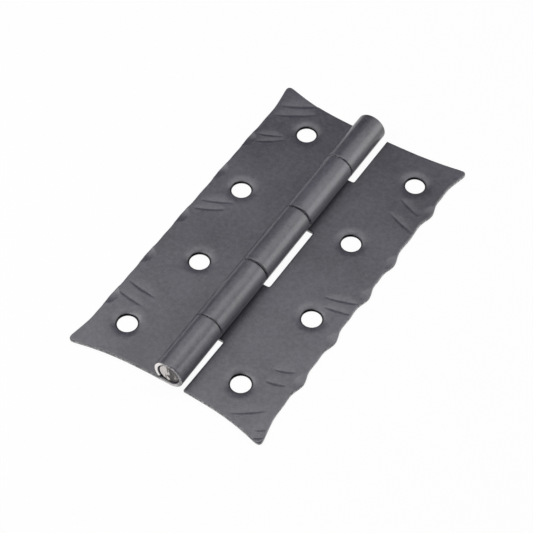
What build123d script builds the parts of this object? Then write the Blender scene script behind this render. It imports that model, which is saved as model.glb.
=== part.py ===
from build123d import *
import math
import os

# A decorative butt hinge, open and flat on its back. Each leaf is one blanked steel sheet whose
# tabs are rolled round a plain pin. Frame: X across the leaves, Y along the barrel, Z up, with the
# origin under the middle of the barrel on the plane of the leaf backs. Sizes are in millimetres.

# Sheet, pin and knuckles
sheet = 1.2                 # thickness of both leaves
pin_diameter = 6.0
running_clearance = 0.05    # between the pin and the bore of a knuckle, on the radius
barrel_length = 100.0
inner_knuckle = 21.4        # length of each of the three inner knuckles, to the middle of its gaps
middle_gap = 0.55           # on each side of the middle knuckle
outer_gap = 0.25            # beside each end knuckle
knuckle_ease = 0.2          # on the sheared outer edges of a knuckle
seam_gap = 0.3              # height of the rolled sheet's end above the leaf
slot_clearance = 0.85       # from the barrel to a leaf's edge, beside the other leaf's knuckles
slot_taper = 0.65           # by which it is nearer at the two-knuckle leaf's long corner
slot_corner = 0.6           # radius in the inner corners of those slots
pin_recess = 0.3            # of each pin end below the end of the barrel
pin_chamfer = 0.45
grip_length = 9.0           # stretch at each end of the pin that an end knuckle holds tight

# Outline of a leaf
leaf_reach = 28.8           # from the barrel's axis to the crests of the wavy edge
two_knuckle_wave = 0.9      # depth of the troughs between the crests, on each leaf
three_knuckle_wave = 0.45
wave_half_width = 3.8       # along the edge, from a crest to the trough beside it
tip_reach = 0.95            # of the corner tips beyond the crests
flare_length = 6.5          # of the stretch beside a corner that sweeps out to its tip
flare_middle = 0.42         # how far out that stretch is at its middle, as a share
end_sweep = 2.2             # power of the curve in which an end edge sweeps out to its tip
long_tip = 3.6              # of the long corner beyond the end of the barrel
long_tip_radius = 1.2
two_knuckle_short_tip = 2.1     # of the short corner beyond the end of the barrel, on each leaf
three_knuckle_short_tip = 3.0
short_tip_radius = 1.3
edge_break = 0.25           # bevel on the upper edge of the outline

# Screw holes, by turns near the barrel and near the wavy edge
hole_count = 4
hole_diameter = 5.4
hole_end_margin = 9.65      # from the end of the barrel to the first hole
hole_stagger = 4.3          # between the two lines of holes
hole_line_shift = 0.55      # of the pattern outward from the middle of the flat part
dish_width = 2.2            # of the pressed dish round a hole
dish_depth = 0.55

# Hammer marks and dents
mark_width = 1.7            # of a hammer's print at its middle
mark_depth = 0.3            # there too
dent_depth = 0.5            # of the hammer's dent on each crest of the edge
dent_radius = 11.0          # of the round hammer face
dent_overhang = 0.2         # of the dent's middle beyond the crests

# Where each leaf was struck, in shares of its own size: across from the slots (0) to the crests
# (1), and along in half lengths from its middle, away from the long corner. A crest has only the
# second. A mark has both for each of its ends, and its depth as a share of the usual one.
two_knuckle_crests = (-0.64, -0.333, 0.005, 0.264, 0.675)
two_knuckle_marks = (
    ((0.542, -0.990), (0.855, -0.880), 0.8),
    ((0.868, -1.012), (0.988, -0.970), 0.8),
    ((0.886, -1.060), (1.021, -1.010), 1.2),
    ((0.627, -0.650), (0.860, -0.605), 0.8),
    ((0.635, -0.730), (0.855, -0.703), 0.8),
    ((0.584, -0.120), (0.957, -0.064), 1.0),
    ((0.644, -0.174), (0.957, -0.143), 1.0),
    ((0.584, 0.676), (0.890, 0.620), 1.0),
    ((0.584, 0.560), (0.957, 0.495), 1.0),
)
three_knuckle_crests = (-0.6, -0.32, 0.06, 0.385, 0.71)
three_knuckle_marks = (
    ((0.521, -1.028), (0.945, -0.910), 1.8),
    ((0.500, -0.955), (0.928, -0.830), 1.5),
    ((0.644, -0.720), (0.924, -0.660), 1.1),
    ((0.602, -0.700), (0.881, -0.606), 1.1),
    ((0.564, -0.164), (0.919, -0.084), 1.1),
    ((0.602, -0.096), (0.924, -0.016), 1.1),
    ((0.542, 0.600), (0.941, 0.576), 0.9),
    ((0.602, 0.680), (0.941, 0.660), 0.9),
)

# Values that follow from the driving ones
half_length = barrel_length / 2
pin_radius = pin_diameter / 2
bore_radius = pin_radius + running_clearance
roll_radius = bore_radius + sheet
axis_height = roll_radius
slot_edge = roll_radius + slot_clearance
tip_line = leaf_reach + tip_reach
low_tip = -half_length - long_tip
middle_joint = inner_knuckle / 2
outer_joint = inner_knuckle * 3 / 2
hole_pitch = (barrel_length - 2 * hole_end_margin) / (hole_count - 1)
hole_line = (slot_edge + leaf_reach) / 2 + hole_line_shift

three_knuckles = (
    (-half_length, -outer_joint - outer_gap / 2),
    (-middle_joint + middle_gap / 2, middle_joint - middle_gap / 2),
    (outer_joint + outer_gap / 2, half_length),
)
two_knuckles = (
    (-outer_joint + outer_gap / 2, -middle_joint - middle_gap / 2),
    (middle_joint + middle_gap / 2, outer_joint - outer_gap / 2),
)


def end_edge(start, end, tip):
    """Points of an end edge from the slot out to the corner tip, towards which it sweeps."""
    shares = (0, 0.45, 0.75, 1)
    return [(start + (tip_line - start) * s, end + (tip - end) * s**end_sweep) for s in shares]


def flare(end, tip, trough):
    """Points of the wavy edge where it sweeps out from a trough to a corner tip."""
    start = end - math.copysign(flare_length, end)
    middle = (trough + (tip_line - trough) * flare_middle, (start + tip) / 2)
    return [(trough, start), middle, (tip_line, tip)]


def wavy_edge(crests, wave, high_tip):
    """Points of the outer edge: out of one corner, over each crest, and out to the other corner."""
    trough = leaf_reach - wave
    points = flare(-half_length, low_tip, trough)[::-1]
    for station in crests:
        crest = station * half_length
        foot = crest - wave_half_width
        points += [
            (trough, (points[-1][1] + foot) / 2),
            (trough, foot),
            (leaf_reach, crest),
            (trough, crest + wave_half_width),
        ]
    last = flare(half_length, high_tip, trough)
    return points + [(trough, (points[-1][1] + last[0][1]) / 2)] + last


def blank(crests, wave, high_tip, spans, taper):
    """The flat sheet with its tabs, rounded corners and bevelled upper edge, before it is struck."""
    low_start = slot_edge - taper
    outline = make_face([
        Line((slot_edge, half_length), (slot_edge, -middle_joint)),
        Line((slot_edge, -middle_joint), (low_start, -half_length)),
        Spline(end_edge(low_start, -half_length, low_tip)),
        Spline(wavy_edge(crests, wave, high_tip)),
        Spline(end_edge(slot_edge, half_length, high_tip)[::-1]),
    ])
    plate = extrude(outline, sheet)
    for low, high in spans:
        plate += Pos(slot_edge / 2, (low + high) / 2, sheet / 2) * Box(slot_edge, high - low, sheet)
    inner = [(slot_edge, y, slot_corner) for span in spans for y in span if abs(y) < half_length]
    outer = [(tip_line, low_tip, long_tip_radius), (tip_line, high_tip, short_tip_radius)]
    for x, y, radius in inner + outer:
        upright = plate.edges().filter_by(Axis.Z).sort_by_distance((x, y, sheet / 2))[0]
        plate = fillet(upright, radius)
    rim = plate.faces().sort_by(Axis.Z)[-1].edges().filter_by(
        lambda edge: edge.center().X > slot_edge + edge_break)
    return chamfer(rim, edge_break)


def screw_holes():
    """Cutters for the screw holes, each with its dish, which dips more and more into the hole."""
    hole_radius = hole_diameter / 2
    rim_radius = hole_radius + dish_width
    shoulder = (hole_radius + dish_width / 2, sheet - dish_depth / 4)
    top = 2 * sheet
    section = make_face(Polyline(
        (0, -sheet), (hole_radius, -sheet), (hole_radius, sheet - dish_depth), shoulder,
        (rim_radius, sheet), (rim_radius, top), (0, top), close=True))
    cutter = revolve(Plane.XZ * section, Axis.Z)
    first = -half_length + hole_end_margin
    for i in range(hole_count):
        side = 1 if i % 2 else -1
        yield Pos(hole_line + side * hole_stagger / 2, first + i * hole_pitch) * cutter


def struck_at(across, along):
    """The spot on a leaf's upper face that a pair of shares means."""
    return Vector(slot_edge + across * (leaf_reach - slot_edge), along * half_length, sheet)


def hammer_marks(marks):
    """Cutters for the hammer's prints: a slim leaf shape on the face that falls to a point below."""
    stations = (0.2, 0.5, 0.8)
    for start, end, share in marks:
        start, end = struck_at(*start), struck_at(*end)
        along = end - start
        side = along.normalized().cross(Vector(0, 0, mark_width / 2))
        near = [start + along * s + side * math.sin(math.pi * s) for s in stations]
        far = [start + along * s - side * math.sin(math.pi * s) for s in reversed(stations)]
        rim = make_face(Polyline(start, *near, end, *far, close=True))
        point = start + along / 2 - Vector(0, 0, mark_depth * share)
        yield loft([rim, Vertex(point)], ruled=True)


def edge_dents(crests):
    """Cutters for the dents: the round face of the hammer, sunk into each crest of the edge."""
    for station in crests:
        place = (leaf_reach + dent_overhang, station * half_length, sheet - dent_depth + dent_radius)
        yield Pos(*place) * Sphere(dent_radius)


def knuckle(low, high):
    """A rolled tab: from under the pin round the far side and over it, back down to the leaf."""
    turn = 270 + math.degrees(math.asin((roll_radius - sheet - seam_gap) / roll_radius))

    def roll(radius, share):
        angle = math.radians(-90 - turn * share)
        return (radius * math.cos(angle), axis_height + radius * math.sin(angle))

    section = make_face([
        ThreePointArc(roll(roll_radius, 0), roll(roll_radius, 0.5), roll(roll_radius, 1)),
        Line(roll(roll_radius, 1), roll(bore_radius, 1)),
        ThreePointArc(roll(bore_radius, 1), roll(bore_radius, 0.5), roll(bore_radius, 0)),
        Line(roll(bore_radius, 0), roll(roll_radius, 0)),
    ])
    tube = Pos(0, high, 0) * extrude(Plane.XZ * section, high - low)
    outer_face = tube.faces().filter_by(GeomType.CYLINDER).sort_by(SortBy.AREA)[-1]
    return chamfer(outer_face.edges().filter_by(GeomType.CIRCLE), knuckle_ease)


def leaf(crests, wave, marks, short_tip, spans, taper):
    """One leaf with the barrel at its left and its long corner towards -Y."""
    flat = blank(crests, wave, half_length + short_tip, spans, taper)
    struck = flat - [*screw_holes(), *hammer_marks(marks), *edge_dents(crests)]
    return struck + [knuckle(low, high) for low, high in spans]


def pin():
    """The pin, a little short of the barrel, with a land at each end that the end knuckles grip."""
    end = half_length - pin_recess
    section = make_face(Polyline(
        (0, 0), (pin_radius, 0), (pin_radius, end - grip_length), (bore_radius, end - grip_length),
        (bore_radius, end - pin_chamfer), (bore_radius - pin_chamfer, end), (0, end), close=True))
    half = revolve(section, Axis.Y)
    return Pos(0, 0, axis_height) * (half + mirror(half, Plane.XZ))


os.makedirs("parts", exist_ok=True)
parts = {
    "three_knuckle_leaf": Rot(0, 0, 180) * leaf(
        three_knuckle_crests, three_knuckle_wave, three_knuckle_marks, three_knuckle_short_tip,
        three_knuckles, taper=0),
    "two_knuckle_leaf": leaf(
        two_knuckle_crests, two_knuckle_wave, two_knuckle_marks, two_knuckle_short_tip,
        two_knuckles, taper=slot_taper),
    "hinge_pin": pin(),
}
for name, shape in parts.items():
    export_step(shape, f"parts/{name}.step")
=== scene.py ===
import math

import bpy
import numpy as np
from bpy.props import FloatProperty, FloatVectorProperty, IntProperty, PointerProperty
from mathutils import Matrix, Vector
from mathutils.geometry import delaunay_2d_cdt
from mathutils.noise import fractal


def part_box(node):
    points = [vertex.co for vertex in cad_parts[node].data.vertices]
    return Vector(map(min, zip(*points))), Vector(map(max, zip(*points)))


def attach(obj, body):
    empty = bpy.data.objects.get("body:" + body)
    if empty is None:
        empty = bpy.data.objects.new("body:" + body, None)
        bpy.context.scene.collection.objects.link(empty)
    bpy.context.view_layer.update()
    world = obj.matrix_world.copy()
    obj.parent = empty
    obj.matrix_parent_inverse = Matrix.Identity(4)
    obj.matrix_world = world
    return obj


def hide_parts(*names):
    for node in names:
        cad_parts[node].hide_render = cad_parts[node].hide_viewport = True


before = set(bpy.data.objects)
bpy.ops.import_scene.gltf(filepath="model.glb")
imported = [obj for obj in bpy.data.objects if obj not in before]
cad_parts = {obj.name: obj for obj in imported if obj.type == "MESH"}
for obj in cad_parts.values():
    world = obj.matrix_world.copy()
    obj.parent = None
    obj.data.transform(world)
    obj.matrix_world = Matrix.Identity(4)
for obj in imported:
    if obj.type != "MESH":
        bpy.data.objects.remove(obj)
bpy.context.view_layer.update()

bl_info = {
    "name": "Hammered butt hinge",
    "version": (1, 0, 0),
    "blender": (4, 5, 0),
    "location": "3D View > Sidebar > Hinge",
    "description": "Builds a butt hinge with hammered leaves, its pin and a plain studio",
    "category": "Object",
}

MM = 0.001

# The lines of the leaves, in millimetres. A leaf is drawn flat, before its tabs are rolled: u runs
# out from under the pin, v along the barrel away from the long corner, and the tabs lie at u < 0.
SLOT_EDGE = 5.1
MIDDLE_JOINT = 10.7
HALF_LENGTH = 50.0
SEAM = 0.3                  # between the end of a rolled tab and the plate
LEAF_REACH = 28.8           # to the crests of the wavy edge
WAVE_HALF_WIDTH = 3.8
TIP_REACH = 0.95            # of the corners beyond the crests
FLARE_LENGTH = 6.5          # of the edge that runs out to a corner
FLARE_MIDDLE = 0.42
END_STATIONS = (0, 0.45, 0.75, 1)
END_SWEEP = 2.2             # power of the sweep of an end towards its corner
LONG_TIP = 3.6              # of the long corner beyond the barrel's end
HOLE_RADIUS = 2.7
HOLE_MIDDLE = 17.5
HOLE_STAGGER = 4.3
HOLE_PITCH = 26.9
HOLE_COUNT = 4

# How far from a corner of the blank its rounding starts, in millimetres.
LONG_TIP_ROUND = 2.5
SHORT_TIP_ROUND = 2.1
SLOT_ROUND = 0.6
PLATE_ROUND = 0.2
TAB_ROUND = 0.1
ROUND_STEPS = 7

# What is pressed into a leaf, in millimetres, but for the flanks, in widths of the print, and the
# powers.
DENT_REACH = 3.6            # of a dent from its middle
DENT_OVERHANG = 1.1         # of that middle beyond the crest
DENT_NARROWING = 1.1        # of a dent along the edge
NEAR_FLANK = 0.5            # the steep side of a print
FAR_FLANK = 1.6             # its gentle side
PRINT_FILL = 0.7            # power of a print's depth along it
DISH_FALL = 2.5             # power of a dish's depth towards its hole
HOLE_SHADE_FADE = 1.0             # of the painted shade round a screw hole
SLOT_SHADE_FADE = 0.6             # of the painted shade along a slot

# The mesh of a blank, in millimetres: rows inwards from its edge and outwards from a hole, steps of
# the points on prints, dents and tabs, and the patches round dents, holes and the whole plate.
EDGE_ROWS = (0.07, 0.16, 0.27, 0.55)
HOLE_ROWS = (0.07, 0.16, 0.27, 0.5, 0.75, 1.0, 1.3, 1.6, 1.9, 2.2, 2.6, 3.0)
HOLE_SIDES = 64
PRINT_STEPS = (0.4, 0.16)
PRINT_MARGIN = 0.3
DENT_STEP = 0.35
DENT_PATCH = (24.5, 30.0)
DENT_HALF_PATCH = 4.5
TAB_STEPS = (0.45, 0.8)
HOLE_PATCH = 3.2
PLATE_END = 31.0
PLATE_HALF_LENGTH = 55.0
CLOSEST = 0.1               # side of the square that keeps one point
EDGE_MARGIN = 0.05          # free of points along an edge
SHORTEST = 0.02             # step of an outline beside a cut
ROW_RATIO = 0.87            # of a grid's rows to its steps, for triangles with equal sides
DISTANCE_BLOCK = 2000       # points that are measured at a time
MERGE = 1e-5
TINY = 1e-6

# The patterns of the sheet, the coat and the floor, in lumps to the metre.
SWELL_SCALE = 90.0
CLOUD_SCALE = 45.0
SPECKLE_SCALE = 800.0
GRAIN_SCALE = 2200.0
CHIP_SCALE = 1600.0
STREAK_SCALE = 1100.0
BLOT_SCALE = 480.0
FLOOR_SCALE = 8.0

# The coat: how much of its clouds, speckle and grain go into its thin places, its relief and its
# roughness, which they move round the finish's own.
THIN_CLOUDS, THIN_SPECKLE, THIN_GRAIN = 0.4, 0.3, 0.3
THIN_LIMITS = (0.35, 0.65)
RELIEF_GRAIN, RELIEF_SPECKLE, RELIEF_BARE = 0.6, 0.4, 2.0
RELIEF_STRENGTH = 0.65
RELIEF_DEPTH = 0.05 * MM
ROUGH_CLOUDS, ROUGH_GRAIN = 0.06, 0.12
ROUGH_SHIFT = 0.09          # half of what those two add

# Where the coat is gone, as the soft limits of each zone: the chips on all the edges and the worn
# near end of the barrel by its seam and under the pin; and the painted shade on holes and slots.
EDGE_WIDTH = 0.06 * MM
CHIP_LIMITS = (0.42, 0.62)
CHIP_STRENGTH = 0.45
WORN_END = (49.6 * MM, 49.9 * MM)
WORN_HEIGHT = (1.0 * MM, 1.6 * MM)
WORN_UNDER = (-3.2 * MM, -2.4 * MM)
WORN_UNDER_STRENGTH = 0.65
WORN_AWAY = (-0.6 * MM, 2.0 * MM)
AWAY_ACROSS, AWAY_UP = 0.8, 0.6
BARREL_AXIS = 4.25 * MM
# The painted shade round holes and slots: its soft limits in from the edge and up the wall.
PAINTED_SHADE_LIMITS = (0.4, 0.9)
UPPER_LIMITS = (0.2, 0.8)

# The pin's torn ends: the tilt and stretch of their streaks, and how much more is bare by the seam.
STREAK_TILT = 0.7
STREAK_STRETCH = 0.18
STREAK_LIMITS = (0.50, 0.60)
BLOT_LIMITS = (0.47, 0.54)
SEAM_SIDE = (-1.0 * MM, 1.8 * MM)
SEAM_STREAKS, SEAM_BLOTS = 0.15, 0.25

# The break on the pin's ends: how wide its rim and its slope are, in millimetres, and its lumps to
# the metre along each axis.
BREAK_RIM = 0.2
BREAK_SLOPE = 0.8
BREAK_SCALE = (700, 20, 250)
BREAK_ROUGHNESS = (0.8, 2.0, 4)     # decay, ratio and number of the octaves
TORN_FADE = 0.3             # of the coat into the torn face
TORN_DEPTH = 0.5            # under the end, as far as the face can be torn
END_TOLERANCE = 0.01
CHAMFER_POINTS = 5
FACE_RINGS = 13

SHARP_ANGLE = math.radians(55)

# The stage, in metres, but for the sensor.
SENSOR_WIDTH = 36.0         # in millimetres
LENS_NEAREST = 0.01
FLOOR_HALF = 1.5
FLOOR_DARK = (0.86, 0.86, 0.86, 1)
FLOOR_LIGHT = (0.88, 0.88, 0.88, 1)
FLOOR_GLOW = 0.95           # share of plain white in the floor as seen or reflected
WHITE = (1, 1, 1, 1)

# Each leaf: its body, its half turn, the tabs' spans along v, the short corner beyond the barrel's
# end, the depth of the wave, how much nearer the barrel the last slot ends, the strength of the
# dents, the crests in half lengths, and the hammer's prints. A print has the shares of its two
# ends, across from the slots to the crests and along in half lengths, and then its strength.
LEAVES = {
    "three_knuckle_leaf": {
        "body": "pinned_leaf",
        "turn": -1,
        "tabs": ((-50.0, -32.225), (-10.425, 10.425), (32.225, 50.0)),
        "short_tip": 3.0,
        "wave": 0.45,
        "taper": 0.0,
        "dents": 1.2,
        "crests": (-0.6, -0.32, 0.06, 0.385, 0.71),
        "prints": (
            ((0.521, -1.028), (0.945, -0.910), 1.8),
            ((0.500, -0.955), (0.928, -0.830), 1.5),
            ((0.644, -0.720), (0.924, -0.660), 1.1),
            ((0.602, -0.700), (0.881, -0.606), 1.1),
            ((0.564, -0.164), (0.919, -0.084), 1.1),
            ((0.602, -0.096), (0.924, -0.016), 1.1),
            ((0.542, 0.600), (0.941, 0.576), 0.9),
            ((0.602, 0.680), (0.941, 0.660), 0.9),
        ),
    },
    "two_knuckle_leaf": {
        "body": "swinging_leaf",
        "turn": 1,
        "tabs": ((-31.975, -10.975), (10.975, 31.975)),
        "short_tip": 2.1,
        "wave": 0.9,
        "taper": 0.65,
        "dents": 0.55,
        "crests": (-0.64, -0.333, 0.005, 0.264, 0.675),
        "prints": (
            ((0.542, -0.990), (0.855, -0.880), 0.8),
            ((0.868, -1.012), (0.988, -0.970), 0.8),
            ((0.886, -1.060), (1.021, -1.010), 1.2),
            ((0.627, -0.650), (0.860, -0.605), 0.8),
            ((0.635, -0.730), (0.855, -0.703), 0.8),
            ((0.584, -0.120), (0.957, -0.064), 1.0),
            ((0.644, -0.174), (0.957, -0.143), 1.0),
            ((0.584, 0.676), (0.890, 0.620), 1.0),
            ((0.584, 0.560), (0.957, 0.495), 1.0),
        ),
    },
}

# The soft boxes: name, place and side in metres, and power in watts. They face the origin.
LAMPS = (
    ("near box", (-0.08, -0.18, 0.30), 0.20, 0.55),
    ("near left box", (-0.20, -0.05, 0.25), 0.15, 0.16),
    ("top box", (0.00, 0.05, 0.30), 0.20, 0.11),
    ("far top box", (-0.10, 0.20, 0.50), 0.35, 0.25),
    ("far box", (0.10, 0.28, 0.45), 0.30, 0.26),
    ("right box", (0.40, 0.35, 0.18), 0.36, 1.10),
    ("high right box", (0.24, 0.30, 0.42), 0.25, 0.20),
    ("left box", (-0.35, 0.10, 0.40), 0.30, 0.35),
)


class Wire:
    """An output of a node; arithmetic on it adds Math nodes."""

    def __init__(self, graph, socket):
        self.graph = graph
        self.socket = socket

    def math(self, operation, *others):
        return self.graph.math(operation, self, *others)

    def __add__(self, other):
        return self.math("ADD", other)

    def __sub__(self, other):
        return self.math("SUBTRACT", other)

    def __rsub__(self, other):
        return self.graph.math("SUBTRACT", other, self)

    def __mul__(self, other):
        return self.math("MULTIPLY", other)

    def __truediv__(self, other):
        return self.math("DIVIDE", other)

    __radd__ = __add__
    __rmul__ = __mul__


class Graph:
    """A node tree that is put together from Python expressions."""

    def __init__(self, tree):
        self.tree = tree
        tree.nodes.clear()

    def node(self, kind, settings=None, inputs=None):
        """Adds a node, makes its settings, fills or links its inputs, and returns its outputs."""
        made = self.tree.nodes.new(kind)
        for key, value in (settings or {}).items():
            setattr(made, key, value)
        for key, value in (inputs or {}).items():
            if isinstance(value, Wire):
                self.tree.links.new(value.socket, made.inputs[key])
            else:
                made.inputs[key].default_value = value
        if made.outputs:
            return Outputs(self, made.outputs)
        return None

    def math(self, operation, *values):
        inputs = dict(enumerate(values))
        return self.node("ShaderNodeMath", {"operation": operation}, inputs)[0]

    def attribute(self, name):
        """A value that a mesh keeps at its points, for a material."""
        return self.node("ShaderNodeAttribute", {"attribute_name": name})["Fac"]

    def noise(self, place, scale, detail=2.0, roughness=0.5):
        """Fractal noise from 0 to 1 at a place in metres, with so many lumps to the metre."""
        inputs = {"Vector": place, "Scale": scale, "Detail": detail, "Roughness": roughness}
        return self.node("ShaderNodeTexNoise", None, inputs)["Fac"]

    def ramp(self, value, low, high):
        """The value's smooth share of the way from low to high, between 0 and 1."""
        inputs = {"Value": value, "From Min": low, "From Max": high}
        return self.node("ShaderNodeMapRange", {"interpolation_type": "SMOOTHSTEP"}, inputs)[0]

    def blend(self, share, first, second):
        """The first colour where the share is 0, and the second where it is 1."""
        inputs = {0: share, 6: first, 7: second}
        return self.node("ShaderNodeMix", {"data_type": "RGBA"}, inputs)[2]


class Outputs:
    """The outputs of a node, by name or number, as wires."""

    def __init__(self, graph, sockets):
        self.graph = graph
        self.sockets = sockets

    def __getitem__(self, key):
        return Wire(self.graph, self.sockets[key])


class HingeLeafSizes(bpy.types.PropertyGroup):
    """Sizes of the two leaves."""

    sheet: FloatProperty(
        name="Sheet", description="Thickness of the steel sheet",
        default=1.2 * MM, min=0.0, subtype="DISTANCE", unit="LENGTH")
    lip: FloatProperty(
        name="Lip", description="Radius of the sheared upper edges",
        default=0.25 * MM, min=0.0, subtype="DISTANCE", unit="LENGTH")
    back_lip: FloatProperty(
        name="Back lip", description="Radius of the back's edges, which are outside on a knuckle",
        default=0.2 * MM, min=0.0, subtype="DISTANCE", unit="LENGTH")
    dish_width: FloatProperty(
        name="Dish width", description="Width of the pressed ring round a screw hole",
        default=3.0 * MM, min=0.0, subtype="DISTANCE", unit="LENGTH")
    dish_depth: FloatProperty(
        name="Dish depth", description="Depth of the dish at the screw hole",
        default=0.55 * MM, min=0.0, subtype="DISTANCE", unit="LENGTH")
    print_width: FloatProperty(
        name="Print width", description="Width of a hammer's print at its middle",
        default=1.7 * MM, min=0.0, subtype="DISTANCE", unit="LENGTH")
    print_depth: FloatProperty(
        name="Print depth", description="Depth of a hammer's print of strength 1",
        default=0.2 * MM, min=0.0, subtype="DISTANCE", unit="LENGTH")
    dent_depth: FloatProperty(
        name="Dent depth", description="Depth of the dent on each crest of the wavy edge",
        default=0.5 * MM, min=0.0, subtype="DISTANCE", unit="LENGTH")
    unevenness: FloatProperty(
        name="Unevenness", description="How far the struck sheet is from flat",
        default=0.14 * MM, min=0.0, subtype="DISTANCE", unit="LENGTH")
    spacing: FloatProperty(
        name="Spacing", description="Distance between the mesh's points on the plain parts",
        default=0.8 * MM, min=0.2 * MM, subtype="DISTANCE", unit="LENGTH")


class HingePinSizes(bpy.types.PropertyGroup):
    """Sizes of the pin."""

    land: FloatProperty(
        name="Land", description="Stretch at each end that the end knuckles hold tight",
        default=9.0 * MM, min=0.0, subtype="DISTANCE", unit="LENGTH")
    clearance: FloatProperty(
        name="Clearance", description="How much less the pin's radius is between the lands",
        default=0.05 * MM, min=0.0, subtype="DISTANCE", unit="LENGTH")
    chamfer: FloatProperty(
        name="Chamfer", description="Rounding of the pin's ends",
        default=0.45 * MM, min=0.0, subtype="DISTANCE", unit="LENGTH")
    tear: FloatProperty(
        name="Tear", description="Depth of the rough break that the shear leaves on an end",
        default=0.35 * MM, min=0.0, subtype="DISTANCE", unit="LENGTH")
    sides: IntProperty(
        name="Sides", description="Number of steps round the pin", default=96, min=12)


class HingeFinish(bpy.types.PropertyGroup):
    """Colours and gloss of the coat."""

    coat: FloatVectorProperty(
        name="Coat", description="Colour of the black coat", subtype="COLOR", size=3,
        default=(0.049, 0.0476, 0.0602), min=0.0, max=1.0)
    worn: FloatVectorProperty(
        name="Worn coat", description="Colour where the coat is thin", subtype="COLOR", size=3,
        default=(0.098, 0.0948, 0.1178), min=0.0, max=1.0)
    steel: FloatVectorProperty(
        name="Steel", description="Colour of the bare steel on cut edges", subtype="COLOR", size=3,
        default=(0.84, 0.81, 0.79), min=0.0, max=1.0)
    torn_steel: FloatVectorProperty(
        name="Torn steel", description="Colour of the light streaks on the pin's ends",
        subtype="COLOR", size=3, default=(0.60, 0.57, 0.55), min=0.0, max=1.0)
    torn_dirt: FloatVectorProperty(
        name="Torn dirt", description="Colour between the streaks on the pin's ends",
        subtype="COLOR", size=3, default=(0.07, 0.065, 0.065), min=0.0, max=1.0)
    # Painted shade: a black that stands in for the shade on the walls and edges of screw holes and
    # slots.
    painted_shade_colour: FloatVectorProperty(
        name="Painted shade", description="Colour of the walls of screw holes and slots",
        subtype="COLOR", size=3, default=(0.010, 0.010, 0.011), min=0.0, max=1.0)
    roughness: FloatProperty(
        name="Roughness", description="Roughness of the coat", default=0.31, min=0.0, max=1.0,
        subtype="FACTOR")
    gloss: FloatProperty(
        name="Gloss", description="Index of refraction of the coat", default=1.77, min=1.0, max=3.0)


class HingeStage(bpy.types.PropertyGroup):
    """The camera and the light."""

    focal_length: FloatProperty(
        name="Focal length", description="Of the camera's lens, in millimetres, on a 36 mm sensor",
        default=121.07, min=1.0, subtype="DISTANCE_CAMERA", unit="CAMERA")
    azimuth: FloatProperty(
        name="Azimuth", description="Angle of the camera round the hinge, from straight in front",
        default=math.radians(32.68), subtype="ANGLE", unit="ROTATION")
    elevation: FloatProperty(
        name="Elevation", description="Angle of the camera above the floor",
        default=math.radians(51.84), subtype="ANGLE", unit="ROTATION")
    distance: FloatProperty(
        name="Distance", description="From the camera to the point that it looks at",
        default=473.26 * MM, min=0.0, subtype="DISTANCE", unit="LENGTH")
    target: FloatVectorProperty(
        name="Target", description="Point that the camera looks at", size=3,
        default=(0.794 * MM, -5.691 * MM, 1.2 * MM), subtype="XYZ", unit="LENGTH")
    light: FloatProperty(
        name="Light", description="Strength of all the lamps together", default=1.0, min=0.0)
    sky: FloatProperty(
        name="Sky", description="Strength of the even light from all round",
        default=0.02, min=0.0)


def spline_through(points, step=0.35):
    """A natural cubic spline through the points, as evenly spaced samples."""
    points = np.array(points, float)
    last = len(points) - 1
    gaps = np.linalg.norm(np.diff(points, axis=0), axis=1)
    knots = np.concatenate([[0], np.cumsum(gaps)])
    system = np.eye(last + 1)
    pull = np.zeros_like(points)
    for i in range(1, last):
        system[i, i - 1:i + 2] = gaps[i - 1], 2 * (gaps[i - 1] + gaps[i]), gaps[i]
        slopes = (points[i + 1] - points[i]) / gaps[i] - (points[i] - points[i - 1]) / gaps[i - 1]
        pull[i] = 6 * slopes
    bend = np.linalg.solve(system, pull)
    at = np.linspace(0, knots[-1], max(2, round(knots[-1] / step) + 1))
    i = np.clip(np.searchsorted(knots, at, side="right") - 1, 0, last - 1)
    gap = gaps[i][:, None]
    left = (knots[i + 1] - at)[:, None]
    right = (at - knots[i])[:, None]
    curve = (bend[i] * left**3 + bend[i + 1] * right**3) / (6 * gap)
    return curve + (points[i] / gap - bend[i] * gap / 6) * left + (
        points[i + 1] / gap - bend[i + 1] * gap / 6) * right


def trimmed(path, start, end):
    """The line without so much of its length at its start and its end."""
    run = np.concatenate([[0], np.cumsum(np.linalg.norm(np.diff(path, axis=0), axis=1))])
    cuts = [start, run[-1] - end]
    ends = np.stack([np.interp(cuts, run, path[:, axis]) for axis in (0, 1)], axis=1)
    inner = path[(run > start + SHORTEST) & (run < run[-1] - end - SHORTEST)]
    return np.concatenate([ends[:1], inner, ends[1:]])


def closed_line(legs):
    """One closed line from lines that follow each other, each with the rounding at its end."""
    points = []
    for i, (path, reach) in enumerate(legs):
        following, _ = legs[(i + 1) % len(legs)]
        kept = trimmed(path, legs[i - 1][1], reach)
        points.append(kept[:-1])
        if reach:
            after = trimmed(following, reach, 0)[0]
            t = np.linspace(0, 1, ROUND_STEPS, endpoint=False)[:, None]
            points.append((1 - t)**2 * kept[-1] + 2 * t * (1 - t) * path[-1] + t**2 * after)
    return np.concatenate(points)


def slot_at(shape, v):
    """Where a leaf's slots end, which is nearer the barrel towards the long corner of one leaf."""
    share = np.maximum(0.0, -v - MIDDLE_JOINT) / (HALF_LENGTH - MIDDLE_JOINT)
    return SLOT_EDGE - shape["taper"] * share


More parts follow.
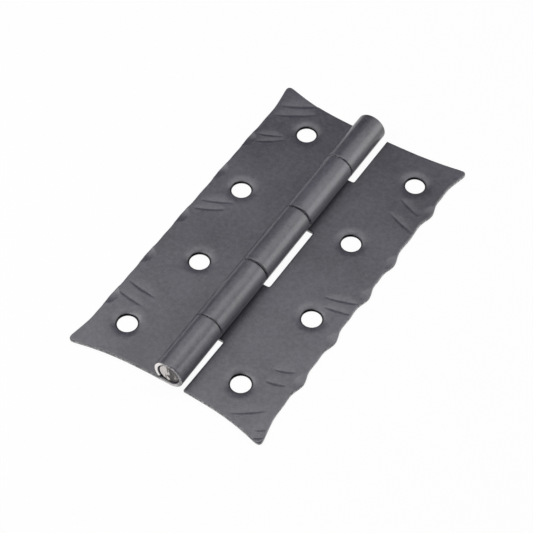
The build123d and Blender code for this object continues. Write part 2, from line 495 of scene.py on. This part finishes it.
def leaf_outline(shape, tab_length):
    """The closed edge of a leaf's blank, counter-clockwise, with its tabs still flat."""
    tip_line = LEAF_REACH + TIP_REACH
    low_tip = -HALF_LENGTH - LONG_TIP
    high_tip = HALF_LENGTH + shape["short_tip"]
    trough = LEAF_REACH - shape["wave"]

    def end_edge(end, tip):
        start = slot_at(shape, end)
        return [
            (start + (tip_line - start) * s, end + (tip - end) * s**END_SWEEP)
            for s in END_STATIONS]

    def flare(end, tip):
        start = end - math.copysign(FLARE_LENGTH, end)
        middle = (trough + (tip_line - trough) * FLARE_MIDDLE, (start + tip) / 2)
        return [(trough, start), middle, (tip_line, tip)]

    waves = flare(-HALF_LENGTH, low_tip)[::-1]
    for station in shape["crests"]:
        crest = station * HALF_LENGTH
        foot = crest - WAVE_HALF_WIDTH
        waves += [
            (trough, (waves[-1][1] + foot) / 2),
            (trough, foot),
            (LEAF_REACH, crest),
            (trough, crest + WAVE_HALF_WIDTH),
        ]
    last = flare(HALF_LENGTH, high_tip)
    waves += [(trough, (waves[-1][1] + last[0][1]) / 2)] + last
    end_round = 0.0 if shape["tabs"][-1][1] == HALF_LENGTH else PLATE_ROUND
    corners = [((SLOT_EDGE, HALF_LENGTH), end_round)]
    for low, high in reversed(shape["tabs"]):
        if high != HALF_LENGTH:
            corners.append(((slot_at(shape, high), high), SLOT_ROUND))
        corners += [((-tab_length, high), TAB_ROUND), ((-tab_length, low), TAB_ROUND)]
        if low != -HALF_LENGTH:
            corners.append(((slot_at(shape, low), low), SLOT_ROUND))
    corners.append(((slot_at(shape, -HALF_LENGTH), -HALF_LENGTH), end_round))
    legs = [
        (spline_through(end_edge(-HALF_LENGTH, low_tip)), LONG_TIP_ROUND),
        (spline_through(waves), SHORT_TIP_ROUND),
        (spline_through(end_edge(HALF_LENGTH, high_tip)[::-1]), end_round),
    ]
    for (here, _), (there, reach) in zip(corners, corners[1:]):
        legs.append((spline_through([here, there]), reach))
    return closed_line(legs)


def inset(loop, distance):
    """The points of a counter-clockwise loop, each moved inwards."""
    ahead = np.roll(loop, -1, axis=0) - loop
    behind = loop - np.roll(loop, 1, axis=0)
    along = ahead / np.linalg.norm(ahead, axis=1)[:, None]
    along += behind / np.linalg.norm(behind, axis=1)[:, None]
    along /= np.linalg.norm(along, axis=1)[:, None]
    return loop + distance * np.stack([-along[:, 1], along[:, 0]], axis=1)


def edge_distance(points, loops):
    """How far each point is from the nearest of the loops."""
    starts = np.concatenate(loops)
    runs = np.concatenate([np.roll(loop, -1, axis=0) for loop in loops]) - starts
    lengths = (runs**2).sum(axis=1)
    nearest = np.empty(len(points))
    for first in range(0, len(points), DISTANCE_BLOCK):
        block = points[first:first + DISTANCE_BLOCK, None] - starts
        share = np.clip((block * runs).sum(axis=2) / lengths, 0, 1)
        away = block - share[..., None] * runs
        nearest[first:first + DISTANCE_BLOCK] = np.sqrt((away**2).sum(axis=2).min(axis=1))
    return nearest


def inside(points, loops):
    """Which of the points lie within the first loop and outside the others."""
    x, y = points[:, 0, None], points[:, 1, None]
    crossings = np.zeros(len(points), int)
    for loop in loops:
        after = np.roll(loop, -1, axis=0)
        spans = (loop[:, 1] > y) != (after[:, 1] > y)
        rise = np.where(after[:, 1] == loop[:, 1], 1.0, after[:, 1] - loop[:, 1])
        meets = loop[:, 0] + (y - loop[:, 1]) * (after[:, 0] - loop[:, 0]) / rise
        crossings += (spans & (x < meets)).sum(axis=1)
    return crossings % 2 == 1


def hole_centres():
    """The middles of the screw holes of a leaf, by turns near the barrel and near the wavy edge."""
    for i in range(HOLE_COUNT):
        side = 1 if i % 2 else -1
        yield HOLE_MIDDLE + side * HOLE_STAGGER / 2, (i - (HOLE_COUNT - 1) / 2) * HOLE_PITCH


def struck_at(place):
    """The spot on a leaf that a pair of shares means."""
    across, along = place
    return np.array([SLOT_EDGE + across * (LEAF_REACH - SLOT_EDGE), along * HALF_LENGTH])


def print_frame(mark):
    """A print's start, its length, the directions along and across it, and its strength."""
    start, end, strength = mark
    first = struck_at(start)
    run = struck_at(end) - first
    length = np.linalg.norm(run)
    along = run / length
    return first, length, along, np.array([along[1], -along[0]]), strength


def grid(u_range, v_range, step, row=None):
    """Points in staggered rows."""
    row = row or step * ROW_RATIO
    vs = np.arange(v_range[0], v_range[1] + row, row)
    us = np.arange(u_range[0], u_range[1] + step, step)
    u, v = np.meshgrid(us, vs)
    u = u + (np.arange(len(vs)) % 2)[:, None] * step / 2
    return np.stack([u.ravel(), v.ravel()], axis=1)


def blank_points(shape, loops, sizes, tab_length):
    """Points inside a blank: close near edges, holes, prints and dents, and wide elsewhere."""
    sets = [inset(loops[0], row) for row in EDGE_ROWS]
    angles = np.linspace(0, 2 * math.pi, HOLE_SIDES, endpoint=False)
    ring = np.stack([np.cos(angles), np.sin(angles)], axis=1)
    for u, v in hole_centres():
        sets += [(u, v) + ring * (HOLE_RADIUS + row) for row in HOLE_ROWS]
    for mark in shape["prints"]:
        first, length, along, across, strength = print_frame(mark)
        reach = FAR_FLANK * sizes.print_width / MM * max(1.0, strength)
        span = (-PRINT_MARGIN, length + PRINT_MARGIN)
        local = grid(span, (-reach, reach), *PRINT_STEPS)
        sets.append(first + local[:, :1] * along + local[:, 1:] * across)
    for station in shape["crests"]:
        middle = station * HALF_LENGTH
        span = (middle - DENT_HALF_PATCH, middle + DENT_HALF_PATCH)
        sets.append(grid(DENT_PATCH, span, DENT_STEP))
    sets.append(grid((-tab_length, SLOT_EDGE), (-HALF_LENGTH, HALF_LENGTH), *TAB_STEPS))
    plain = grid(
        (SLOT_EDGE, PLATE_END), (-PLATE_HALF_LENGTH, PLATE_HALF_LENGTH), sizes.spacing / MM)
    for u, v in hole_centres():
        plain = plain[np.hypot(plain[:, 0] - u, plain[:, 1] - v) > HOLE_RADIUS + HOLE_PATCH]
    points = np.concatenate([*sets, plain])
    _, firsts = np.unique(np.floor(points / CLOSEST).astype(int), axis=0, return_index=True)
    points = points[np.sort(firsts)]
    points = points[inside(points, loops)]
    return points[edge_distance(points, loops) > EDGE_MARGIN]


def blank_mesh(name, shape, sizes, tab_length):
    """A leaf's flat blank: two equal faces and the wall between them, with what its rule needs."""
    circle = np.linspace(0, -2 * math.pi, HOLE_SIDES, endpoint=False)
    ring = HOLE_RADIUS * np.stack([np.cos(circle), np.sin(circle)], axis=1)
    loops = [leaf_outline(shape, tab_length)] + [(u, v) + ring for u, v in hole_centres()]
    points = np.concatenate([*loops, blank_points(shape, loops, sizes, tab_length)])
    edges = []
    first = 0
    for loop in loops:
        edges += [(first + i, first + (i + 1) % len(loop)) for i in range(len(loop))]
        first += len(loop)
    made = delaunay_2d_cdt([Vector(p) for p in points], edges, [], 0, MERGE)
    points = np.array([tuple(p) for p in made[0]])
    faces = np.array(made[2])
    corners = points[faces]
    faces = faces[inside(corners.mean(axis=1), loops)]
    a, b, c = (points[faces[:, i]] for i in range(3))
    area = (b[:, 0] - a[:, 0]) * (c[:, 1] - a[:, 1]) - (b[:, 1] - a[:, 1]) * (c[:, 0] - a[:, 0])
    faces = np.where((area < 0)[:, None], faces[:, ::-1], faces)
    sides = np.concatenate([faces[:, [0, 1]], faces[:, [1, 2]], faces[:, [2, 0]]])
    known = {tuple(side) for side in sides}
    rim = np.array([side for side in known if side[::-1] not in known])
    count = len(points)
    top = faces
    back = faces[:, ::-1] + count
    wall = np.stack([rim[:, 1], rim[:, 0], rim[:, 0] + count, rim[:, 1] + count], axis=1)
    mesh = bpy.data.meshes.new(name)
    flat = np.concatenate([points, points]) * MM
    vertices = np.column_stack([flat, np.zeros(len(flat))])
    mesh.from_pydata(vertices.tolist(), [], [*top.tolist(), *back.tolist(), *wall.tolist()])
    shares = {
        "front": np.repeat([1.0, 0.0], count),
        "edge": np.tile(edge_distance(points, loops) * MM, 2),
        "dish": np.tile(dish_share(points, sizes), 2),
        "print": np.tile(print_share(points, shape, sizes), 2),
        "dent": np.tile(dent_share(points, shape), 2),
        # where the painted shade lies round holes and slots
        "cut": np.tile(painted_shade_at_cuts(points, shape), 2),
    }
    for label, values in shares.items():
        attribute = mesh.attributes.new(label, "FLOAT", "POINT")
        attribute.data.foreach_set("value", values.astype(np.float32))
    return mesh


def painted_shade_at_cuts(points, shape):
    """Painted shade: 1 on the edges of the screw holes and slots, and less to 0 a little way in."""
    u, v = points.T
    from_hole = np.min([np.hypot(u - x, v - y) for x, y in hole_centres()], axis=0) - HOLE_RADIUS
    from_slot = np.abs(u - slot_at(shape, v))
    share = np.minimum(from_hole / HOLE_SHADE_FADE, from_slot / SLOT_SHADE_FADE)
    for low, high in shape["tabs"]:
        on_tab = (v > low - TAB_ROUND) & (v < high + TAB_ROUND)
        share[on_tab] = from_hole[on_tab] / HOLE_SHADE_FADE
    return np.clip(1 - share, 0, 1)


def dish_share(points, sizes):
    """How far into the dish of a screw hole each point is, from 0 outside to 1 at the hole."""
    share = np.zeros(len(points))
    for u, v in hole_centres():
        out = np.hypot(points[:, 0] - u, points[:, 1] - v) - HOLE_RADIUS
        share = np.maximum(share, np.clip(1 - out * MM / sizes.dish_width, 0, 1) ** DISH_FALL)
    return share


def print_share(points, shape, sizes):
    """How deep in a hammer's print each point is; the side towards the near end is steep."""
    width = sizes.print_width / MM
    share = np.zeros(len(points))
    for mark in shape["prints"]:
        first, length, along, across, strength = print_frame(mark)
        local = points - first
        swell = np.sin(math.pi * np.clip(local @ along / length, 0, 1))
        reach = width * max(1.0, strength) * np.sqrt(swell) + TINY
        aside = local @ across * shape["turn"]
        near = 0.5 + 0.5 * np.cos(math.pi * np.clip(aside / (NEAR_FLANK * reach), 0, 1))
        far = np.clip(1 + aside / (FAR_FLANK * reach), 0, 1) ** 2
        depth = np.where(aside > 0, near, far)
        share = np.maximum(share, strength * swell**PRINT_FILL * depth)
    return share


def dent_share(points, shape):
    """How deep in the dent on a crest each point is."""
    share = np.zeros(len(points))
    for station in shape["crests"]:
        across = points[:, 0] - LEAF_REACH - DENT_OVERHANG
        along = (points[:, 1] - station * HALF_LENGTH) * DENT_NARROWING
        share = np.maximum(share, 1 - (across**2 + along**2) / DENT_REACH**2)
    return share * shape["dents"]


def leaf_tree():
    """The rule that gives a blank its thickness, presses it and rolls its tabs round the pin."""
    tree = bpy.data.node_groups.new("Pressed and rolled leaf", "GeometryNodeTree")
    graph = Graph(tree)
    tree.interface.new_socket("Geometry", in_out="INPUT", socket_type="NodeSocketGeometry")
    for name in ("Sheet", "Roll radius", "Lip", "Back lip", "Dish depth", "Print depth",
                 "Dent depth", "Unevenness"):
        socket = tree.interface.new_socket(name, in_out="INPUT", socket_type="NodeSocketFloat")
        socket.subtype = "DISTANCE"
    tree.interface.new_socket("Coat", in_out="INPUT", socket_type="NodeSocketMaterial")
    tree.interface.new_socket("Geometry", in_out="OUTPUT", socket_type="NodeSocketGeometry")
    given = graph.node("NodeGroupInput")

    def share(label):
        kind = {"data_type": "FLOAT"}
        return graph.node("GeometryNodeInputNamedAttribute", kind, {"Name": label})[0]

    edge = share("edge")

    def lip_drop(radius):
        """How far a face falls away towards its rounded edge."""
        depth = radius - edge.math("MINIMUM", radius)
        return radius - (radius * radius - depth * depth).math("SQRT")

    place = graph.node("GeometryNodeInputPosition")[0]
    at = graph.node("ShaderNodeSeparateXYZ", None, {0: place})
    swell = graph.noise(place, SWELL_SCALE, detail=3.0) * given["Unevenness"]
    pressed = (share("dish") * given["Dish depth"] + share("print") * given["Print depth"]
               + share("dent") * given["Dent depth"] + swell)
    front_height = given["Sheet"] - pressed - lip_drop(given["Lip"])
    back_height = lip_drop(given["Back lip"])
    front = share("front")
    height = front * front_height + (1 - front) * back_height
    radius = given["Roll radius"]
    under = (at[0] * -1).math("MAXIMUM", 0.0)
    turn = under / (radius - given["Sheet"] * 0.5)
    arm = radius - height
    across = at[0].math("MAXIMUM", 0.0) - arm * turn.math("SINE")
    up = radius - arm * turn.math("COSINE")
    rolled = graph.node("ShaderNodeCombineXYZ", None, {0: across, 1: at[1], 2: up})[0]
    moved = graph.node(
        "GeometryNodeSetPosition", None, {"Geometry": given["Geometry"], "Position": rolled})
    whole = graph.node("GeometryNodeRealizeInstances", None, {0: moved[0]})
    coated = graph.node(
        "GeometryNodeSetMaterial", None, {"Geometry": whole[0], "Material": given["Coat"]})
    graph.node("NodeGroupOutput", None, {0: coated[0]})
    return tree


def baked(source, tree, values):
    """The plain mesh that a tree makes of a mesh, with the tree's inputs given by name."""
    worker = bpy.data.objects.new("worker", source)
    bpy.context.scene.collection.objects.link(worker)
    modifier = worker.modifiers.new("rule", "NODES")
    modifier.node_group = tree
    for item in tree.interface.items_tree:
        if item.item_type == "SOCKET" and item.in_out == "INPUT" and item.name in values:
            modifier[item.identifier] = values[item.name]
    depsgraph = bpy.context.evaluated_depsgraph_get()
    mesh = bpy.data.meshes.new_from_object(worker.evaluated_get(depsgraph))
    worker.modifiers.remove(modifier)
    bpy.data.objects.remove(worker)
    bpy.data.meshes.remove(source)
    return mesh


def shown(name, mesh):
    """An object at the origin that shows a mesh, smooth but for its sharp corners."""
    mesh.name = name
    mesh.shade_smooth()
    mesh.set_sharp_from_angle(angle=SHARP_ANGLE)
    piece = bpy.data.objects.new(name, mesh)
    bpy.context.scene.collection.objects.link(piece)
    return piece


def bare_edges_and_painted_shade(graph, place):
    """How far the coat is gone on cut edges, and the painted shade on and round the cuts' walls."""
    rim = 1 - graph.ramp(graph.attribute("edge"), 0.0, EDGE_WIDTH)
    chips = graph.ramp(graph.noise(place, CHIP_SCALE, detail=3.0), *CHIP_LIMITS)
    at = graph.node("ShaderNodeSeparateXYZ", None, {0: place})
    near_end = graph.ramp(at[1] * -1, *WORN_END)
    on_barrel = graph.ramp(at[2], *WORN_HEIGHT)
    under_pin = graph.ramp(at[0], *WORN_UNDER) * WORN_UNDER_STRENGTH
    from_seam = at[0] * AWAY_ACROSS + (at[2] - BARREL_AXIS) * AWAY_UP
    by_seam = 1 - graph.ramp(from_seam, *WORN_AWAY)
    worn = near_end * on_barrel.math("MAXIMUM", under_pin) * by_seam
    bare = rim * (chips * CHIP_STRENGTH).math("MAXIMUM", worn)
    # Painted shade: black on the upper walls of holes and slots and on the top face beside them.
    upper_wall = graph.ramp(graph.attribute("front"), *UPPER_LIMITS)
    painted_shade = graph.ramp(graph.attribute("cut"), *PAINTED_SHADE_LIMITS) * upper_wall
    return bare, painted_shade


def torn_ends(graph, place):
    """Where the pin's ends are torn, and how far they are bare: in streaks, most by the seam."""
    torn = graph.attribute("torn")
    stretched = graph.node(
        "ShaderNodeMapping", {"vector_type": "POINT"},
        {"Vector": place, "Rotation": (0.0, STREAK_TILT, 0.0),
         "Scale": (1.0, 1.0, STREAK_STRETCH)})[0]
    streaks = graph.noise(stretched, STREAK_SCALE, detail=3.0, roughness=0.65)
    across = graph.node("ShaderNodeSeparateXYZ", None, {0: place})[0]
    by_seam = graph.ramp(across * -1, *SEAM_SIDE)
    clean = graph.ramp(graph.noise(place, BLOT_SCALE) + by_seam * SEAM_BLOTS, *BLOT_LIMITS)
    light = graph.ramp(streaks + by_seam * SEAM_STREAKS, *STREAK_LIMITS)
    return torn, torn * light * clean


def coat_material(name, finish, on_pin=False):
    """The black coat: a fine grain, clouds of thicker and thinner coat, and bare steel on cuts."""
    material = bpy.data.materials.new(name)
    material.use_nodes = True
    graph = Graph(material.node_tree)
    place = graph.node("ShaderNodeTexCoord")["Object"]
    clouds = graph.noise(place, CLOUD_SCALE, detail=3.0)
    grain = graph.noise(place, GRAIN_SCALE, roughness=0.6)
    speckle = graph.noise(place, SPECKLE_SCALE)
    thin = clouds * THIN_CLOUDS + speckle * THIN_SPECKLE + grain * THIN_GRAIN
    thin = graph.ramp(thin, *THIN_LIMITS)
    colour = graph.blend(thin, (*finish.coat, 1), (*finish.worn, 1))
    relief = grain * RELIEF_GRAIN + speckle * RELIEF_SPECKLE
    if on_pin:
        metal, bare = torn_ends(graph, place)
        colour = graph.blend(metal, colour, (*finish.torn_dirt, 1))
        colour = graph.blend(bare, colour, (*finish.torn_steel, 1))
        relief = relief + bare * RELIEF_BARE
    else:
        bare, painted_shade = bare_edges_and_painted_shade(graph, place)
        colour = graph.blend(bare, colour, (*finish.steel, 1))
        # painted shade round holes and slots, made metallic as well so that its black takes no
        # reflection
        colour = graph.blend(painted_shade, colour, (*finish.painted_shade_colour, 1))
        metal = bare.math("MAXIMUM", painted_shade)
    roughness = finish.roughness - ROUGH_SHIFT + clouds * ROUGH_CLOUDS + grain * ROUGH_GRAIN
    bump = graph.node("ShaderNodeBump", None, {
        "Strength": RELIEF_STRENGTH, "Distance": RELIEF_DEPTH, "Height": relief})[0]
    shader = graph.node("ShaderNodeBsdfPrincipled", None, {
        "Base Color": colour, "Roughness": roughness, "Metallic": metal, "Normal": bump,
        "IOR": finish.gloss})[0]
    graph.node("ShaderNodeOutputMaterial", None, {"Surface": shader})
    return material


class HINGE_OT_make_leaves(bpy.types.Operator):
    """Make the two leaves, each one sheet that is blanked, hammered and rolled round the pin"""

    bl_idname = "hinge.make_leaves"
    bl_label = "Make the leaves"

    def execute(self, context):
        sizes = context.scene.hinge_leaf
        coat = coat_material("Black coat on sheet", context.scene.hinge_finish)
        tree = leaf_tree()
        for node, shape in LEAVES.items():
            lowest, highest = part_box(node)
            radius = (highest[2] - lowest[2]) / 2
            last_turn = math.asin((radius - sizes.sheet - SEAM * MM) / radius)
            tab_length = (1.5 * math.pi + last_turn) * (radius - sizes.sheet / 2)
            blank = blank_mesh(node + "_blank", shape, sizes, tab_length / MM)
            mesh = baked(blank, tree, {
                "Sheet": sizes.sheet, "Roll radius": radius, "Lip": sizes.lip,
                "Back lip": sizes.back_lip, "Dish depth": sizes.dish_depth,
                "Print depth": sizes.print_depth, "Dent depth": sizes.dent_depth,
                "Unevenness": sizes.unevenness, "Coat": coat})
            mesh.transform(Matrix.Diagonal((shape["turn"], shape["turn"], 1, 1)))
            piece = shown(node + "_hammered", mesh)
            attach(piece, shape["body"])
            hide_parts(node)
        return {"FINISHED"}


class HINGE_OT_make_pin(bpy.types.Operator):
    """Make the pin, with its lands and its torn ends"""

    bl_idname = "hinge.make_pin"
    bl_label = "Make the pin"

    def execute(self, context):
        sizes = context.scene.hinge_pin
        lowest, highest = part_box("hinge_pin")
        end = highest[1]
        radius = (highest[0] - lowest[0]) / 2
        axis = (highest[2] + lowest[2]) / 2
        round_off = [
            (radius - sizes.chamfer * (1 - math.cos(a)), end - sizes.chamfer * (1 - math.sin(a)))
            for a in np.linspace(0, math.pi / 2, CHAMFER_POINTS)]
        inwards = np.linspace(1, 0, FACE_RINGS + 2)[1:-1]
        face = [((radius - sizes.chamfer) * share, end) for share in inwards]
        thin = radius - sizes.clearance
        half = [(thin, 0.0), (thin, end - sizes.land - sizes.clearance), (radius, end - sizes.land)]
        half += round_off + face
        profile = [(r, -y) for r, y in half[:0:-1]] + half
        angles = np.linspace(0, 2 * math.pi, sizes.sides, endpoint=False)
        rings = np.array([
            [(r * math.cos(a), y, r * math.sin(a)) for a in angles] for r, y in profile])
        vertices = np.concatenate([[(0, -end, 0)], rings.reshape(-1, 3), [(0, end, 0)]])
        reach = np.hypot(vertices[:, 0], vertices[:, 2])
        at_end = np.abs(vertices[:, 1]) > end - END_TOLERANCE * MM
        for i in np.flatnonzero(at_end & (reach < radius - BREAK_RIM * MM)):
            lump = Vector(vertices[i] * BREAK_SCALE)
            rough = 0.5 + 0.5 * fractal(lump, *BREAK_ROUGHNESS)
            bowl = min(1.0, (radius - reach[i]) / (BREAK_SLOPE * MM))
            depth = sizes.tear * bowl * min(max(rough, 0.0), 1.0)
            vertices[i, 1] -= math.copysign(depth, vertices[i, 1])
        vertices[:, 2] += axis
        n = sizes.sides
        faces = [(0, 1 + j, 1 + (j + 1) % n) for j in range(n)]
        for i in range(len(profile) - 1):
            a, b = 1 + i * n, 1 + (i + 1) * n
            faces += [(a + j, b + j, b + (j + 1) % n, a + (j + 1) % n) for j in range(n)]
        last = 1 + (len(profile) - 1) * n
        faces += [(last + j, len(vertices) - 1, last + (j + 1) % n) for j in range(n)]
        mesh = bpy.data.meshes.new("hinge_pin")
        mesh.from_pydata(vertices.tolist(), [], faces)
        torn = mesh.attributes.new("torn", "FLOAT", "POINT")
        near_end = np.abs(vertices[:, 1]) > end - TORN_DEPTH * MM
        fade = np.clip((radius - reach) / (TORN_FADE * MM) * near_end, 0, 1)
        torn.data.foreach_set("value", fade)
        finish = context.scene.hinge_finish
        mesh.materials.append(coat_material("Black coat on pin", finish, on_pin=True))
        piece = shown("hinge_pin_sheared", mesh)
        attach(piece, "pinned_leaf")
        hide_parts("hinge_pin")
        return {"FINISHED"}


class HINGE_OT_make_stage(bpy.types.Operator):
    """Make the floor, the light and the camera"""

    bl_idname = "hinge.make_stage"
    bl_label = "Make the stage"

    def execute(self, context):
        stage = context.scene.hinge_stage
        self.make_camera(context, stage)
        self.make_floor(context)
        self.make_sky(context, stage)
        for name, place, size, power in LAMPS:
            self.make_light(context, name, place, size, power * stage.light)
        context.scene.view_settings.view_transform = "Standard"
        return {"FINISHED"}

    def make_camera(self, context, stage):
        a, e = stage.azimuth, stage.elevation
        back = Vector((math.sin(a) * math.cos(e), -math.cos(a) * math.cos(e), math.sin(e)))
        right = Vector((math.cos(a), math.sin(a), 0.0))
        up = back.cross(right)
        lens = bpy.data.cameras.new("camera")
        lens.sensor_width = SENSOR_WIDTH
        lens.lens = stage.focal_length
        lens.clip_start = LENS_NEAREST
        camera = bpy.data.objects.new("camera", lens)
        place = Matrix((right, up, back)).transposed().to_4x4()
        place.translation = Vector(stage.target) + back * stage.distance
        camera.matrix_world = place
        context.scene.collection.objects.link(camera)
        context.scene.camera = camera

    def make_floor(self, context):
        """A white floor that takes a faint shadow of the hinge."""
        mesh = bpy.data.meshes.new("floor")
        corners = [(x * FLOOR_HALF, y * FLOOR_HALF, 0) for x, y in (
            (-1, -1), (1, -1), (1, 1), (-1, 1))]
        mesh.from_pydata(corners, [], [(0, 1, 2, 3)])
        material = bpy.data.materials.new("White floor")
        material.use_nodes = True
        graph = Graph(material.node_tree)
        ray = graph.node("ShaderNodeLightPath")
        place = graph.node("ShaderNodeTexCoord")["Object"]
        cloud = graph.noise(place, FLOOR_SCALE)
        shade = graph.blend(cloud, FLOOR_DARK, FLOOR_LIGHT)
        paint = graph.node("ShaderNodeBsdfDiffuse", None, {"Color": shade})[0]
        glow = graph.node("ShaderNodeEmission", None, {"Color": WHITE, "Strength": 1.0})[0]
        seen = ray["Is Camera Ray"] + ray["Is Glossy Ray"] + ray["Is Transmission Ray"]
        shader = graph.node("ShaderNodeMixShader", None, {
            0: seen * FLOOR_GLOW, 1: paint, 2: glow})[0]
        graph.node("ShaderNodeOutputMaterial", None, {"Surface": shader})
        mesh.materials.append(material)
        floor = bpy.data.objects.new("floor", mesh)
        context.scene.collection.objects.link(floor)

    def make_sky(self, context, stage):
        """Dim even light from all round."""
        world = bpy.data.worlds.new("studio")
        world.use_nodes = True
        graph = Graph(world.node_tree)
        even = graph.node("ShaderNodeBackground", None, {"Color": WHITE, "Strength": stage.sky})[0]
        graph.node("ShaderNodeOutputWorld", None, {"Surface": even})
        context.scene.world = world

    def make_light(self, context, name, place, size, power):
        lamp = bpy.data.lights.new(name, "AREA")
        lamp.size = size
        lamp.energy = power
        light = bpy.data.objects.new(name, lamp)
        light.location = place
        light.rotation_euler = Vector(place).to_track_quat("Z", "Y").to_euler()
        context.scene.collection.objects.link(light)


class HINGE_PT_panel(bpy.types.Panel):
    """Sizes, finish and stage of the hinge"""

    bl_label = "Hinge"
    bl_idname = "HINGE_PT_panel"
    bl_space_type = "VIEW_3D"
    bl_region_type = "UI"
    bl_category = "Hinge"

    def draw(self, context):
        for operator, group in (
                ("hinge.make_leaves", "hinge_leaf"), ("hinge.make_pin", "hinge_pin"),
                (None, "hinge_finish"), ("hinge.make_stage", "hinge_stage")):
            box = self.layout.box()
            settings = getattr(context.scene, group)
            for name in settings.__annotations__:
                box.prop(settings, name)
            if operator:
                box.operator(operator)


GROUPS = {
    "hinge_leaf": HingeLeafSizes,
    "hinge_pin": HingePinSizes,
    "hinge_finish": HingeFinish,
    "hinge_stage": HingeStage,
}
OPERATORS = (HINGE_OT_make_leaves, HINGE_OT_make_pin, HINGE_OT_make_stage)
CLASSES = (*GROUPS.values(), *OPERATORS, HINGE_PT_panel)


def register():
    for item in CLASSES:
        bpy.utils.register_class(item)
    for name, group in GROUPS.items():
        setattr(bpy.types.Scene, name, PointerProperty(type=group))


def unregister():
    for name in GROUPS:
        delattr(bpy.types.Scene, name)
    for item in reversed(CLASSES):
        bpy.utils.unregister_class(item)


def main():
    register()
    bpy.ops.hinge.make_stage()
    bpy.ops.hinge.make_leaves()
    bpy.ops.hinge.make_pin()


if __name__ == "__main__":
    main()
